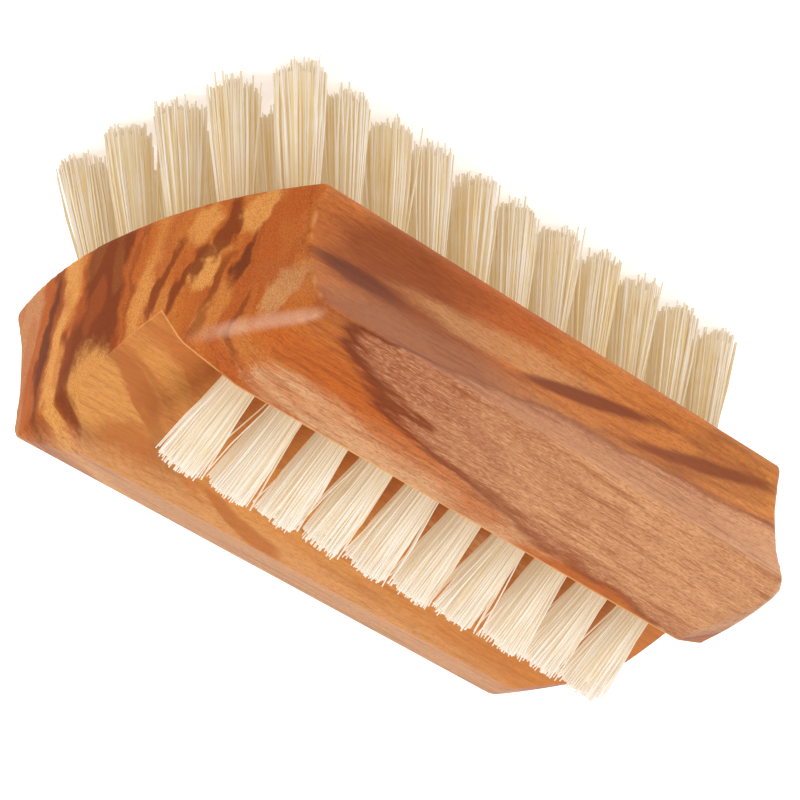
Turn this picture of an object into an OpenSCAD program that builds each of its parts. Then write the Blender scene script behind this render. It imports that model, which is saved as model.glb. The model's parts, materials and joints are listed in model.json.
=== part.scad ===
// Two-sided nail brush. It stands on its main bristles: wood on top, bristle tips on z = 0.
// X runs along the brush. The steep wall of the nail notch lies towards +Y.

/* [Wooden body] */
// Straight length of each long side
side_len = 83.5; // [76:0.5:100]
// How far each curved end stands out past the corners
end_bulge = 5.75; // [4:0.25:8]
// Width of the body
body_w = 45; // [44:0.5:54]
// Height of the wood, from the bristle face to its back
body_h = 19.3; // [18.5:0.1:23]
// Height of the widest line of each long side, where the finger cove ends
flare_h = 15; // [13.5:0.1:15.5]
// Height at which the sloping back starts
brow_h = 16.3; // [16:0.1:17.5]
// How far in from the widest line the sloping back starts
brow_in = 0.9; // [0.5:0.1:1.5]
// Width of the slope on the side of the steep wall
steep_side_slope_w = 11.5; // [9:0.5:12]
// Width of the slope on the side of the shallow wall
shallow_side_slope_w = 7; // [5:0.5:8]
// Height of the narrow flat left between the bristle face and the cove
land_h = 1.2; // [0.8:0.1:2]
// Depth of the finger cove in each long side
cove_depth = 1.5; // [1:0.1:2]
// Radius of the sanded edges along the body
edge_r = 1.1; // [0.6:0.1:1.4]
// Length over which each end slopes up to the back
end_slope_len = 7; // [5:0.5:9]
// Height of each end face
end_face_h = 16.4; // [16:0.1:18]

/* [Nail notch] */
// Thickness of the wood under the bottom of the notch
notch_floor_h = 11.9; // [11:0.1:13]
// Distance of the bottom of the notch from the middle of the brush
notch_y = 4.1; // [3.5:0.1:5]
// Steepness of the wall that carries the nail tufts, from the bristle face
steep_angle = 60; // [57:0.5:65]
// Steepness of the long wall behind the nail tufts
shallow_angle = 20.6; // [19:0.1:22]

/* [Main bristles] */
// Length of the main bristles below the wood
bristle_len = 18.8; // [14:0.1:26]
// Number of rows across the brush
main_rows = 5; // [3:1:5]
// Number of tufts in each row
main_columns = 11; // [7:1:11]
// Distance between the rows
row_pitch = 7; // [6.5:0.05:8]
// Distance of the end holes from the end face
end_margin = 8.7; // [7:0.1:9.5]
// Lean of the tufts at the two ends of the brush, outwards
end_splay = 7.5; // [0:0.5:9]
// Lean of the tufts in the outer rows, outwards
side_splay = 5.5; // [0:0.5:7]
// Diameter of the holes for the main tufts
main_hole_d = 3.6; // [3.2:0.1:4]
// Depth of the holes for the main tufts
main_hole_depth = 7.6; // [6.5:0.1:8]

/* [Nail bristles] */
// Length of the nail bristles outside the wood
nail_len = 12.7; // [9:0.1:14]
// Number of nail tufts
nail_tufts = 10; // [6:1:10]
// Distance of the end nail tufts from the corners of the body
nail_end_margin = 6.2; // [5.5:0.1:8]
// Angle of the nail tufts above the bristle face
nail_angle = 40; // [36:0.5:44]
// Height of the middle of the nail holes on the steep wall, above the bottom of the notch
nail_root_h = 3.6; // [3.3:0.1:4]
// Diameter of the holes for the nail tufts
nail_hole_d = 4; // [3.4:0.1:4.2]
// Depth of the holes for the nail tufts
nail_hole_depth = 8; // [6.5:0.1:8.2]

/* [Tufts] */
// Number of strands round the middle strand of each tuft
ring_strands = 6; // [4:1:6]
// Radius of the circle round one strand
strand_r = 0.42; // [0.3:0.02:0.5]
// Radius of the ring of strands where it leaves the wood
root_ring_r = 1.1; // [0.9:0.05:1.2]
// Radius of the ring of strands at the tips
tip_ring_r = 2.1; // [1.6:0.05:2.6]

/* [Staples] */
// Thickness of the flat wire of a staple
staple_t = 0.35; // [0.3:0.05:0.5]
// Width of the flat wire of a staple
staple_w = 1.8; // [1.4:0.1:2]
// How far each end of a staple bites into the wood
staple_bite = 0.3; // [0.2:0.05:0.5]
// Thickness of the folded bristles under a staple
fold_t = 1.1; // [0.8:0.1:1.5]

/* [Hidden] */
// Clearance of a tuft in its hole, and round its staple
fit_gap = 0.1;
// How far cutting shapes run past the faces that they cut
over = 2;
// Sides of round holes, of sanded edges and of the packed root of a tuft
hole_sides = 32;
edge_sides = 24;
root_sides = 8;
// Straight steps along each cove
cove_steps = 12;
// Sides of one strand
strand_sides = 3;
// How deep each strand reaches into the packed root that it is fused to
strand_sink = 1;

half_w = body_w / 2;
half_len = side_len / 2 + end_bulge;
face_z = bristle_len;
// Radius of each end's arc through both corners, and its centre's distance behind the middle
end_r = (half_w * half_w + end_bulge * end_bulge) / (2 * end_bulge);
end_centre = half_len - end_r;
// The cove is an arc from the land to the widest line
cove_half = (flare_h - land_h) / 2;
cove_r = (cove_half * cove_half + cove_depth * cove_depth) / (2 * cove_depth);
cove_swing = asin(cove_half / cove_r);
// Middle of the nail tufts' holes on the steep wall
nail_y = notch_y + nail_root_h / tan(steep_angle);
nail_z = face_z + notch_floor_h + nail_root_h;
// A packed root ends below the slanted mouth of its hole
main_mouth_depth = main_hole_d / 2 * norm([tan(end_splay), tan(side_splay)]);
nail_mouth_depth = nail_hole_d / 2 * tan(abs(90 - steep_angle - nail_angle));

wood = [0.80, 0.50, 0.26];
bristle = [0.93, 0.86, 0.72];
nail_bristle = [0.95, 0.90, 0.80];
wire = [0.78, 0.66, 0.38];

function two_digits(i) = str(i < 10 ? "0" : "", i);
function main_node(i) = str("main_tufts_", two_digits(i));
function nail_node(i) = str("nail_tuft_", two_digits(i));

// Place of number i in a row of count, from -1 to 1
function share(i, count) = (2 * i - count - 1) / (count - 1);

// Places of the tufts. The outer holes of every row keep end_margin from the curved end.
function row_y(row) = (row - (main_rows + 1) / 2) * row_pitch;
function reach(y) = end_centre + sqrt(pow(end_r - end_margin, 2) - y * y);
function nail_x(i) = share(i, nail_tufts) * (side_len / 2 - nail_end_margin);

// How far a main tuft runs sideways for each unit of height. It leans more near the edges.
function splay(i, row) = [
    tan(end_splay) * share(i, main_columns),
    -tan(side_splay) * share(row, main_rows)
];

// A point moved sideways by slant for each unit of its height
function leaned(point, slant) = point + point[2] * [slant[0], slant[1], 0];

// Points of one cove, from the bristle face upwards, on the side of positive y
function cove_points() = [
    for (i = [0 : cove_steps])
        let (a = cove_swing * (2 * i / cove_steps - 1))
        [half_w + cove_r * cos(cove_swing) - cove_r * cos(a), land_h + cove_half + cove_r * sin(a)]
];

// Section of the wood across the brush, before the notch is cut: y to the right, height upwards
module blank_section() {
    side = concat([[half_w, 0]], cove_points());
    other_side = [for (i = [len(side) - 1 : -1 : 0]) [-side[i][0], side[i][1]]];
    brow = half_w - brow_in;
    back = [
        [brow, brow_h],
        [brow - steep_side_slope_w, body_h],
        [shallow_side_slope_w - brow, body_h],
        [-brow, brow_h]
    ];
    polygon(concat(side, back, other_side));
}

// The notch is a wide V with one steep wall and one shallow wall
module notch_section() {
    rise = body_h + over - notch_floor_h;
    polygon([
        [notch_y, notch_floor_h],
        [notch_y + rise / tan(steep_angle), body_h + over],
        [notch_y - rise / tan(shallow_angle), body_h + over]
    ]);
}

// The whole section, with its outer edges sanded round
module body_section() {
    offset(r = edge_r, $fn = edge_sides)
        offset(delta = -edge_r)
            difference() {
                blank_section();
                notch_section();
            }
}

// The blank's outline seen from above: straight sides and an arc at each end
module end_arc_half() {
    intersection() {
        translate([end_centre, 0])
            circle(r = end_r, $fn = hole_sides);
        translate([0, -half_w - over])
            square([half_len + over, body_w + 2 * over]);
    }
}

// Everything outside the sloping end: it rises from the end face to the back along the arc
module end_slope_cut() {
    rise_share = (body_h - end_face_h) / end_slope_len;
    intersection() {
        translate([end_centre, 0, face_z])
            rotate_extrude($fn = hole_sides)
                polygon([
                    [end_r + over, end_face_h - over * rise_share],
                    [end_r + over, body_h + over],
                    [end_r - end_slope_len - over / rise_share, body_h + over]
                ]);
        translate([0, -half_w - over, face_z])
            cube([half_len + 2 * over, body_w + 2 * over, body_h + 2 * over]);
    }
}

// Leans its children, so that +Z runs sideways by slant for each unit of height
module slanted(slant) {
    turn = atan(slant[0]);
    rotate([-atan(slant[1] * cos(turn)), turn, 0])
        children();
}

// Runs its children at every main tuft of column i, with +Z pointing straight out of the wood.
// They can read the tuft's slant as $slant.
module at_column(i) {
    for (row = [1 : main_rows])
        let ($slant = splay(i, row))
            translate([share(i, main_columns) * reach(row_y(row)), row_y(row), face_z])
                rotate([180, 0, 0])
                    children();
}

// Runs its children at nail tuft i, with +Z pointing out along the bristles
module at_nail(i) {
    translate([nail_x(i), nail_y, nail_z])
        rotate([90 - nail_angle, 0, 0])
            children();
}

// A blind hole with the two slits that its staple's ends cut into the wood
module stapled_hole(hole_d, hole_depth) {
    translate([0, 0, -hole_depth])
        cylinder(d = hole_d, h = hole_depth + over, $fn = hole_sides);
    staple(hole_d, hole_depth);
}

module wooden_body() {
    color(wood)
        difference() {
            intersection() {
                translate([-half_len - over, 0, face_z])
                    rotate([90, 0, 90])
                        linear_extrude(height = 2 * (half_len + over))
                            body_section();
                translate([0, 0, face_z - over])
                    linear_extrude(height = body_h + 2 * over)
                        union() {
                            end_arc_half();
                            mirror([1, 0])
                                end_arc_half();
                        }
            }
            end_slope_cut();
            mirror([1, 0, 0])
                end_slope_cut();
            for (i = [1 : main_columns])
                at_column(i)
                    slanted($slant)
                        stapled_hole(main_hole_d, main_hole_depth);
            for (i = [1 : nail_tufts])
                at_nail(i)
                    stapled_hole(nail_hole_d, nail_hole_depth);
        }
}

// One strand from a to b: a closed prism of triangles whose ends lie level
module strand(a, b) {
    n = strand_sides;
    corner = [for (k = [0 : n - 1]) strand_r * [cos(360 * k / n), sin(360 * k / n), 0]];
    points = concat([for (c = corner) a + c], [for (c = corner) b + c]);
    bottom = [for (k = [1 : n - 2]) [0, k, k + 1]];
    top = [for (k = [1 : n - 2]) [n, n + k + 1, n + k]];
    sides = [
        for (k = [0 : n - 1])
            let (m = (k + 1) % n)
            each [[k, n + k, m], [m, n + k, n + m]]
    ];
    polyhedron(points = points, faces = concat(bottom, top, sides));
}

// A tuft from the mouth of its hole: packed root downwards, strands fanning upwards to level
// tips. It leans by slant, and mouth_depth keeps the root below the mouth.
module tuft(hole_d, hole_depth, length, slant, mouth_depth) {
    root_top = -mouth_depth - fit_gap;
    root_bottom = -hole_depth + fit_gap;
    slot_t = staple_t + 2 * fit_gap;
    slot_w = staple_w + 2 * fit_gap;
    slot_bottom = -hole_depth + fold_t - fit_gap;
    foot = [0, 0, root_top - strand_sink];
    tip = [0, 0, length];
    slanted(slant)
        difference() {
            translate([0, 0, root_bottom])
                cylinder(d = hole_d - 2 * fit_gap, h = root_top - root_bottom, $fn = root_sides);
            translate([-hole_d / 2, -slot_t / 2, slot_bottom])
                cube([hole_d, slot_t, slot_w]);
        }
    strand(leaned(foot, slant), leaned(tip, slant));
    for (k = [0 : ring_strands - 1]) {
        a = 360 * (k + 0.5) / ring_strands;
        way = [cos(a), sin(a), 0];
        strand(leaned(root_ring_r * way + foot, slant), leaned(tip_ring_r * way + tip, slant));
    }
}

// A staple: a short piece of flat wire driven across the folded bristles
module staple(hole_d, hole_depth) {
    staple_l = hole_d + 2 * staple_bite;
    translate([-staple_l / 2, -staple_t / 2, -hole_depth + fold_t])
        cube([staple_l, staple_t, staple_w]);
}

// One column of main tufts, across the brush
module main_tufts(i) {
    color(bristle)
        at_column(i)
            tuft(main_hole_d, main_hole_depth, bristle_len, $slant, main_mouth_depth);
}

module nail_tuft(i) {
    color(nail_bristle)
        at_nail(i)
            tuft(nail_hole_d, nail_hole_depth, nail_len, [0, 0], nail_mouth_depth);
}

module main_staples() {
    color(wire)
        for (i = [1 : main_columns])
            at_column(i)
                slanted($slant)
                    staple(main_hole_d, main_hole_depth);
}

module nail_staples() {
    color(wire)
        for (i = [1 : nail_tufts])
            at_nail(i)
                staple(nail_hole_d, nail_hole_depth);
}

wooden_body();
for (i = [1 : main_columns])
    main_tufts(i);
for (i = [1 : nail_tufts])
    nail_tuft(i);
main_staples();
nail_staples();
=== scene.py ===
# %% [markdown]
# # A two-sided nail brush
#
# This lesson dresses the frame of a wooden nail brush. The real brush is one block of olive wood
# with fifty-five tufts below, for the hands, and ten slanted tufts in a notch on its back, for the
# nails. The frame already holds every piece at its real size, so the lesson makes what the eye
# wants and a frame lacks: sanded edges, figured wood and hundreds of single bristles.

# %% Load the frame
import json
import math

import bpy
import numpy as np
from mathutils import Matrix, Vector

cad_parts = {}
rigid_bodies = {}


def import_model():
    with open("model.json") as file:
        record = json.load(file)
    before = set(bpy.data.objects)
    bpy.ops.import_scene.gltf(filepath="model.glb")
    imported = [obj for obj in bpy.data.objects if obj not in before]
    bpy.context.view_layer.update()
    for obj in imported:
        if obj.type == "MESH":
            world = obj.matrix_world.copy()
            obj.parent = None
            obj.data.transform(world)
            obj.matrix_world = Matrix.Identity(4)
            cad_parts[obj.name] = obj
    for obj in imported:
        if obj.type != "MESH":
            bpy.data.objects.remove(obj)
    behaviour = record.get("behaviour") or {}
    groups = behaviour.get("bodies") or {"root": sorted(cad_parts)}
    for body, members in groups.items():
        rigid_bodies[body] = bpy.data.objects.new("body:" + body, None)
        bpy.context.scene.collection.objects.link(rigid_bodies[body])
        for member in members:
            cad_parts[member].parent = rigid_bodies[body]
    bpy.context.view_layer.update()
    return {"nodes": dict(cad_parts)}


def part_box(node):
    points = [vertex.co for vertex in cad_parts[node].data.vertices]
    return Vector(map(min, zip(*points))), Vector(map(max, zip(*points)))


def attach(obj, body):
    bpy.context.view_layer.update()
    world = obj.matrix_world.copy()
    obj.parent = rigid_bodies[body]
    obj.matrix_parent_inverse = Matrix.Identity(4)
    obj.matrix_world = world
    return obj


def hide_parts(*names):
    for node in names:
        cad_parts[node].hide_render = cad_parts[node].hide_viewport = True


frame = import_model()

MM = 0.001
wood_low, wood_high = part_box("wooden_body")
face_z = wood_low.z / MM
half_len = wood_high.x / MM
body_h = (wood_high.z - wood_low.z) / MM
print("wood, in mm:", [round(side / MM, 1) for side in wood_high - wood_low])

# %% [markdown]
# ## The camera
#
# The photograph looks along the brush from its near end, over the side with the steep wall, with
# the camera turned almost upside down, so that the bristles it stands on point up in the picture.
# A camera could be turned with three angles, but the line of sight and the direction that is up
# in the picture say the same thing in words that can be checked, so the matrix is made from them.

# %% Camera
camera_place = Vector((-420.5, 339.6, 317.1)) * MM
sight = Vector((0.68071, -0.55185, -0.48176)).normalized()
picture_up = Vector((-0.37313, 0.30473, -0.87630))
picture_right = sight.cross(picture_up).normalized()
picture_up = picture_right.cross(sight)

camera_data = bpy.data.cameras.new("camera")
camera_data.lens = 242.0
camera_data.sensor_width = 36.0
camera = bpy.data.objects.new("camera", camera_data)
camera.matrix_world = Matrix.Translation(camera_place) @ Matrix(
    (picture_right, picture_up, -sight)
).transposed().to_4x4()
bpy.context.scene.collection.objects.link(camera)
bpy.context.scene.camera = camera
print("camera stands", round(camera_place.length / MM), "mm away")

# %% [markdown]
# ## The studio
#
# The brush was lit inside a white tent: light from all sides, more of it from above, and no hard
# shadow. A pale world does most of that, and the floor is a sheet of white card, lit from below
# as on a light table, so that light comes up between the bristles too. Three soft lamps add the
# rest: a large one above, one at the front, and a small one whose shine lies on the end's edge.

# %% Floor, world and lamps
bpy.context.scene.view_settings.view_transform = "Standard"

bpy.ops.mesh.primitive_plane_add(size=4.0, location=(0, 0, 0))
floor = bpy.context.active_object
floor.name = "floor"
card = bpy.data.materials.new("white card")
card.use_nodes = True
card_inputs = card.node_tree.nodes["Principled BSDF"].inputs
card_inputs["Base Color"].default_value = (0.80, 0.80, 0.80, 1)
card_inputs["Roughness"].default_value = 0.9
card_inputs["Emission Color"].default_value = (1.0, 1.0, 1.0, 1)
card_inputs["Emission Strength"].default_value = 0.5
floor.data.materials.append(card)

world = bpy.data.worlds.new("white tent")
world.use_nodes = True
sky = world.node_tree.nodes["Background"].inputs
sky["Color"].default_value = (1.0, 0.99, 0.975, 1)
sky["Strength"].default_value = 0.66
bpy.context.scene.world = world


def soft_lamp(name, place, size, watts):
    bpy.ops.object.light_add(type="AREA", location=place)
    lamp = bpy.context.active_object
    lamp.name = name
    lamp.data.shape = "DISK"
    lamp.data.size = size
    lamp.data.energy = watts
    brush_middle = Vector((0, 0, 0.03))
    lamp.rotation_euler = (brush_middle - lamp.location).to_track_quat("-Z", "Y").to_euler()


soft_lamp("lamp above", (-0.05, 0.2, 0.85), 0.8, 3.6)
soft_lamp("lamp at the front", (0.25, 0.85, 0.22), 0.6, 1.3)
soft_lamp("lamp at the near end", (-0.55, -0.47, 0.45), 0.3, 2.0)

# %% [markdown]
# ## The wooden body: sawn, milled, turned
#
# The real body starts as a block. It could be drawn as an outline and stretched, but a maker
# saws, mills and sands it, and each of those cuts is one step here too: bisect cuts the sloping
# back, a long cylinder mills each finger cove, and a drum and a cone shape each curved end. All
# sizes come from the frame's box and from the sizes of the cuts.

# %% Sizes of the cuts, in mm
end_bulge = 5.75
flare_h = 15.0
land_h = 1.2
cove_depth = 1.5
brow_h = 16.3
brow_in = 0.9
steep_side_slope_w = 11.5
shallow_side_slope_w = 7.0
notch_floor_h = 11.9
notch_y = 4.1
steep_angle = math.radians(60)
shallow_angle = math.radians(20.6)
end_slope_len = 7.0
end_face_h = 16.4
side_w = 22.5
over = 4.0
cove_sides = 192
end_sides = 384

end_r = (side_w**2 + end_bulge**2) / (2 * end_bulge)
end_centre = half_len - end_r
cove_half = (flare_h - land_h) / 2
cove_r = (cove_half**2 + cove_depth**2) / (2 * cove_depth)
print("end arc", round(end_r, 1), "mm, cove", round(cove_r, 1), "mm")


# %% Helpers for modelling
def select_only(*objects):
    bpy.ops.object.select_all(action="DESELECT")
    for o in objects:
        o.select_set(True)
    bpy.context.view_layer.objects.active = objects[0]


def settle(o):
    """Moves an object's place, turn and size into its mesh."""
    select_only(o)
    bpy.ops.object.transform_apply(location=True, rotation=True, scale=True)
    return o


def edit(o):
    select_only(o)
    bpy.ops.object.mode_set(mode="EDIT")
    bpy.ops.mesh.select_all(action="SELECT")


def object_mode():
    bpy.ops.object.mode_set(mode="OBJECT")


def edit_points(o, wanted):
    """Goes into edit mode with only the points selected for which wanted(place in mm) is true."""
    edit(o)
    bpy.ops.mesh.select_mode(type="VERT")
    bpy.ops.mesh.select_all(action="DESELECT")
    object_mode()
    for vertex in o.data.vertices:
        vertex.select = bool(wanted(vertex.co / MM))
    bpy.ops.object.mode_set(mode="EDIT")


# %% Helpers that cut
def saw(o, point, normal):
    """Cuts off what lies beyond a plane and closes the cut. point is in mm."""
    edit(o)
    bpy.ops.mesh.bisect(
        plane_co=Vector(point) * MM,
        plane_no=Vector(normal).normalized(),
        use_fill=True,
        clear_outer=True,
    )
    object_mode()


def apply_modifier(o, kind, **settings):
    select_only(o)
    modifier = o.modifiers.new(kind.lower(), kind)
    for key, value in settings.items():
        setattr(modifier, key, value)
    bpy.ops.object.modifier_apply(modifier=modifier.name)


def carve(o, tool, operation="DIFFERENCE", solver="EXACT"):
    """Cuts o with a tool and puts the tool away."""
    settle(tool)
    apply_modifier(o, "BOOLEAN", object=tool, operation=operation, solver=solver)
    bpy.data.objects.remove(tool)


# %% Saw the block and its sloping back
bpy.ops.mesh.primitive_cube_add(size=1, location=(0, 0, (face_z + body_h / 2) * MM))
wood = bpy.context.active_object
wood.name = "olive_wood_body"
wood.scale = Vector((2 * half_len, 2 * side_w, body_h)) * MM
settle(wood)

slope_rise = body_h - brow_h
brow_y = side_w - brow_in
saw(wood, (0, brow_y, face_z + brow_h), (0, slope_rise, steep_side_slope_w))
saw(wood, (0, -brow_y, face_z + brow_h), (0, -slope_rise, shallow_side_slope_w))
for side in (1, -1):
    saw(wood, (0, side * side_w, face_z + flare_h), (0, side * (brow_h - flare_h), brow_in))
print("sawn block:", len(wood.data.polygons), "faces")


# %% Mill the finger coves
def drum(radius, length, place, sides, turn=(0, 0, 0)):
    bpy.ops.mesh.primitive_cylinder_add(
        vertices=sides,
        radius=radius * MM,
        depth=length * MM,
        location=Vector(place) * MM,
        rotation=turn,
    )
    return bpy.context.active_object


quarter = math.radians(90)
for side in (1, -1):
    cutter = drum(
        cove_r,
        2 * half_len + 2 * over,
        (0, side * (side_w + cove_r - cove_depth), face_z + land_h + cove_half),
        cove_sides,
        (0, quarter, 0),
    )
    carve(wood, cutter)
print("with coves:", len(wood.data.polygons), "faces")

# %% Turn the curved ends and their slopes
def pull_far_half(tool, side):
    """Draws a drum or cone out beyond its axis, so that it shapes only one end of the brush."""
    settle(tool)
    behind_axis = -1.0
    edit_points(tool, lambda point: (point.x - side * end_centre) * side < behind_axis)
    bpy.ops.transform.translate(value=(-side * 2 * half_len * MM, 0, 0))
    object_mode()
    return tool


slope_run_share = end_slope_len / (body_h - end_face_h)
cone_low = -over
cone_high = body_h + over
for side in (1, -1):
    place = (side * end_centre, 0, face_z + (cone_low + cone_high) / 2)
    arc = drum(end_r, cone_high - cone_low, place, end_sides)
    carve(wood, pull_far_half(arc, side), "INTERSECT")
    bpy.ops.mesh.primitive_cone_add(
        vertices=end_sides,
        radius1=(end_r + (end_face_h - cone_low) * slope_run_share) * MM,
        radius2=(end_r + (end_face_h - cone_high) * slope_run_share) * MM,
        depth=(cone_high - cone_low) * MM,
        location=Vector(place) * MM,
    )
    carve(wood, pull_far_half(bpy.context.active_object, side), "INTERSECT")
print("turned body:", len(wood.data.polygons), "faces, size in mm:", wood.dimensions / MM)

# %% [markdown]
# ## Sanding
#
# Every edge of the brush is rounded by sandpaper, a little more where edges meet. Bevels could
# round them one by one, but where a curved end, a slope and a cove meet, their corners tangle.
# So the body is remeshed in small even squares, and smoothing then works like the paper does:
# it leaves flat wood alone and wears every edge and corner round.

# %% Sand the body
sand_grain = 0.38
sanding_passes = 5
edge_passes = 14
edge_reach = 2.2
pressure = 0.5
front_leg_y = notch_y + (end_face_h - notch_floor_h) / math.tan(steep_angle)


def near_end_edge(point):
    """True close to the edge where an end face meets its slope, in front of the notch."""
    from_axis = math.hypot(abs(point.x) - end_centre, point.y)
    from_edge = math.hypot(from_axis - end_r, point.z - face_z - end_face_h)
    return from_edge < edge_reach and point.y > front_leg_y


apply_modifier(wood, "REMESH", mode="VOXEL", voxel_size=sand_grain * MM, adaptivity=0.0)
edge_group = wood.vertex_groups.new(name="end edges")
edge_group.add(
    [v.index for v in wood.data.vertices if near_end_edge(v.co / MM)], 1.0, "REPLACE"
)
apply_modifier(
    wood, "SMOOTH", factor=pressure, iterations=edge_passes, vertex_group=edge_group.name
)
apply_modifier(wood, "SMOOTH", factor=pressure, iterations=sanding_passes)
print("sanded body:", len(wood.data.polygons), "faces, size in mm:", wood.dimensions / MM)

# %% [markdown]
# ## The notch
#
# The notch is milled after the body has been sanded, so its edges are still crisp in the photo.
# It could be cut before the sanding, with the other cuts, but then the paper would round it too.

# %% Cut the notch for the nail tufts
# The wedge is a block whose underside is sawn off along both walls of the notch
bpy.ops.mesh.primitive_cube_add(size=1, location=(0, 0, (face_z + body_h) * MM))
wedge = bpy.context.active_object
wedge.scale = Vector((2 * half_len + 2 * over, 2 * side_w, body_h)) * MM
settle(wedge)
notch_bottom = (0, notch_y, face_z + notch_floor_h)
saw(wedge, notch_bottom, (0, math.sin(steep_angle), -math.cos(steep_angle)))
saw(wedge, notch_bottom, (0, -math.sin(shallow_angle), -math.cos(shallow_angle)))
carve(wood, wedge, solver="MANIFOLD")
print("with notch:", len(wood.data.polygons), "faces")

# %% [markdown]
# ## The holes
#
# Each tuft sits in its own blind hole: five rows of eleven in the flat face, and ten in the steep
# wall of the notch, drilled at a slant. One drill bit is modelled, copied to every place, and all
# the copies are joined, so that one cut drills the whole brush. The drills' places are kept,
# because the tufts and their bristles need the same ones.

# %% Sizes of the holes, in mm, and their slants
main_rows = 5
main_columns = 11
row_pitch = 7.0
end_margin = 8.7
end_splay = math.radians(7.5)
side_splay = math.radians(5.5)
main_hole_d = 3.6
main_hole_depth = 7.6
nail_tufts = 10
nail_end_margin = 6.2
nail_angle = math.radians(40)
nail_root_h = 3.6
nail_hole_d = 4.0
nail_hole_depth = 8.0
side_len = 2 * (half_len - end_bulge)
print("holes:", main_rows * main_columns, "and", nail_tufts)


# %% Places of the tufts
def row_y(row):
    return (row - (main_rows + 1) / 2) * row_pitch


def reach(y):
    """How far from the middle of the brush the last hole of a row lies."""
    return end_centre + math.sqrt((end_r - end_margin) ** 2 - y**2)


def share(i, count):
    """Place of number i in a row of count, from -1 to 1."""
    return (2 * i - count - 1) / (count - 1)


def leaning(slant_x, slant_y):
    """Leans what it turns, so that +Z runs sideways while level cuts stay level."""
    lean = Matrix.Identity(4)
    lean[0][2] = slant_x
    lean[1][2] = slant_y
    return lean


def main_place(column, row):
    """Mouth of a main tuft's hole, with +Z pointing out along the bristles."""
    y = row_y(row)
    along = share(column, main_columns)
    place = Vector((along * reach(y), y, face_z)) * MM
    splay = leaning(math.tan(end_splay) * along, -math.tan(side_splay) * share(row, main_rows))
    return Matrix.Translation(place) @ Matrix.Rotation(2 * quarter, 4, "X") @ splay


def nail_place(i):
    """Mouth of a nail tuft's hole, with +Z pointing out along the bristles."""
    place = Vector(
        (
            share(i, nail_tufts) * (side_len / 2 - nail_end_margin),
            notch_y + nail_root_h / math.tan(steep_angle),
            face_z + notch_floor_h + nail_root_h,
        )
    )
    return Matrix.Translation(place * MM) @ Matrix.Rotation(quarter - nail_angle, 4, "X")


main_places = {
    column: [main_place(column, row) for row in range(1, main_rows + 1)]
    for column in range(1, main_columns + 1)
}
nail_places = [nail_place(i) for i in range(1, nail_tufts + 1)]
first_low, first_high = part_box("main_tufts_01")
print("first column in the frame, in mm:", first_low / MM, first_high / MM)
print("first column here:", main_places[1][0].translation / MM)


# %% Drill the holes
bit_sides = 28
bits = []
for diameter, depth, places in (
    (main_hole_d, main_hole_depth, [p for column in main_places.values() for p in column]),
    (nail_hole_d, nail_hole_depth, nail_places),
):
    bit = settle(drum(diameter / 2, depth + over, (0, 0, (over - depth) / 2), bit_sides))
    for place in places:
        copy = bpy.data.objects.new("bit", bit.data.copy())
        bpy.context.scene.collection.objects.link(copy)
        copy.data.transform(place)
        bits.append(copy)
    bpy.data.objects.remove(bit)
select_only(*bits)
bpy.ops.object.join()
carve(wood, bpy.context.active_object, solver="MANIFOLD")
crisp_angle = math.radians(30)
select_only(wood)
bpy.ops.object.shade_smooth_by_angle(angle=crisp_angle)
print("drilled body:", len(wood.data.polygons), "faces")

# %% [markdown]
# ## Olive wood
#
# Olive wood is honey coloured, with brown to nearly black growth bands that wander and split. The
# bands are sheets that run along the log, so the end of the brush shows them as stripes and the
# sides as long streaks. A picture of wood would show the same stripes on every side. A pattern in
# space gives each cut its own true face instead: the distance across the rings, bent by noise
# that changes quickly across the brush and slowly along it, picks the colour from a ramp.
#
# Nodes could be added and linked one by one, but the sums in this wood are long. So a small class
# holds any value that changes over the surface, and its sums and products add Math nodes.


# %% Values that change over the surface
class Field:
    """A value, colour or vector that changes over the surface: one output of a node."""

    def __init__(self, socket):
        self.socket = socket
        self.tree = socket.id_data

    def __add__(self, other):
        return maths("ADD", self, other)

    def __sub__(self, other):
        return maths("SUBTRACT", self, other)

    def __rsub__(self, other):
        return maths("SUBTRACT", other, self)

    def __mul__(self, other):
        return maths("MULTIPLY", self, other)

    def __truediv__(self, other):
        return maths("DIVIDE", self, other)

    def __abs__(self):
        return maths("ABSOLUTE", self)


def add(tree, kind, inputs=None, **settings):
    """Adds a node, sets its properties, and sets or links its inputs by name or number."""
    node = tree.nodes.new(kind)
    for key, value in settings.items():
        setattr(node, key, value)
    for key, value in (inputs or {}).items():
        if isinstance(value, Field):
            tree.links.new(value.socket, node.inputs[key])
        else:
            node.inputs[key].default_value = value
    return node


def maths(operation, *values, clamp=False):
    tree = next(value.tree for value in values if isinstance(value, Field))
    inputs = dict(enumerate(values))
    node = add(tree, "ShaderNodeMath", inputs, operation=operation, use_clamp=clamp)
    return Field(node.outputs[0])


# %% Helpers for places and patterns
def vector_maths(operation, *vectors):
    """Works on whole vectors. A length and a dot product come out as a value."""
    inputs = dict(enumerate(vectors))
    node = add(vectors[0].tree, "ShaderNodeVectorMath", inputs, operation=operation)
    return Field(node.outputs["Value" if operation in ("LENGTH", "DOT_PRODUCT") else "Vector"])


def split(vector):
    """The X, Y and Z of a vector."""
    node = add(vector.tree, "ShaderNodeSeparateXYZ", {0: vector})
    return [Field(socket) for socket in node.outputs]


def combine(x, y, z=0.0):
    return Field(add(x.tree, "ShaderNodeCombineXYZ", {0: x, 1: y, 2: z}).outputs[0])


def length_of(x, y):
    return vector_maths("LENGTH", combine(x, y))


def spread(value, low, high, to_low=0.0, to_high=1.0):
    """A smooth step from to_low, where value is low, to to_high, where it is high."""
    inputs = dict(enumerate((value, low, high, to_low, to_high)))
    node = add(value.tree, "ShaderNodeMapRange", inputs, interpolation_type="SMOOTHSTEP")
    return Field(node.outputs[0])


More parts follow.
